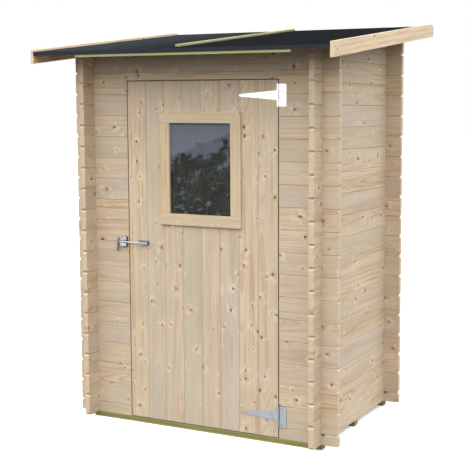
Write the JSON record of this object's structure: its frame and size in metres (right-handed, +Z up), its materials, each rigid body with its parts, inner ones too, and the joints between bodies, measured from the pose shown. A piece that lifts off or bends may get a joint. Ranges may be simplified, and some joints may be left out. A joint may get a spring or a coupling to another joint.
{
  "type": "wooden garden shed",
  "caption": "Small log-board garden shed with a single-slope felt roof, corner-notched walls, treated joists and a hinged plank door with a window.",
  "frame": {"origin": "on the ground under the middle of the roof and of the plan, at the bottom of the joists", "axes": "+Z up, +Y from the door to the rear wall, +X to the right seen from the door side"},
  "size_m": [1.75, 1.4367, 2.2184],
  "materials": {
    "treated_timber": "pressure-treated yellow-green sawn timber",
    "fascia_spruce": "pale planed spruce",
    "bitumen_felt": "black fine-grit bitumen roofing felt",
    "sawn_spruce": "sawn spruce",
    "window_glass": "clear glass",
    "galvanised_steel": "bright zinc-plated steel",
    "plated_steel": "bright plated steel",
    "door_spruce": "planed untreated spruce",
    "wall_spruce": "planed untreated spruce"
  },
  "bodies": {
    "root": {"joist_front": "treated_timber", "joist_middle": "treated_timber", "joist_rear": "treated_timber", "floor_boards": "sawn_spruce", "front_wall_left": "wall_spruce", "front_wall_right": "wall_spruce", "front_wall_over_door": "wall_spruce", "side_wall_left": "wall_spruce", "side_wall_right": "wall_spruce", "rear_wall": "wall_spruce", "roof_purlin": "sawn_spruce", "roof_boarding": "sawn_spruce", "roof_felt": "bitumen_felt", "fascia_left": "fascia_spruce", "fascia_right": "fascia_spruce", "eave_batten": "treated_timber", "rear_batten": "treated_timber", "felt_seam_batten": "treated_timber", "door_stop_left": "sawn_spruce", "door_stop_right": "sawn_spruce", "door_stop_head": "sawn_spruce", "hinge_plate_top": "galvanised_steel", "hinge_plate_bottom": "galvanised_steel", "hinge_pin_top": "galvanised_steel", "hinge_pin_bottom": "galvanised_steel", "latch_catch": "plated_steel"},
    "door": {"door_leaf": "door_spruce", "door_ledge_top": "sawn_spruce", "door_ledge_middle": "sawn_spruce", "door_ledge_bottom": "sawn_spruce", "door_brace": "sawn_spruce", "window_trim_top": "door_spruce", "window_trim_bottom": "door_spruce", "window_trim_left": "door_spruce", "window_trim_right": "door_spruce", "window_inner_trim_top": "door_spruce", "window_inner_trim_bottom": "door_spruce", "window_inner_trim_left": "door_spruce", "window_inner_trim_right": "door_spruce", "window_pane": "window_glass", "hinge_strap_top": "galvanised_steel", "hinge_strap_bottom": "galvanised_steel", "latch_bar": "plated_steel", "latch_foot": "plated_steel"}
  },
  "joints": [
    {"name": "door_hinge", "type": "hinge", "parent": "root", "child": "door", "pos_m": [0.458, -0.4575, 0.874], "axis": [0, 0, 1], "range_deg": [0, 145]}
  ]
}
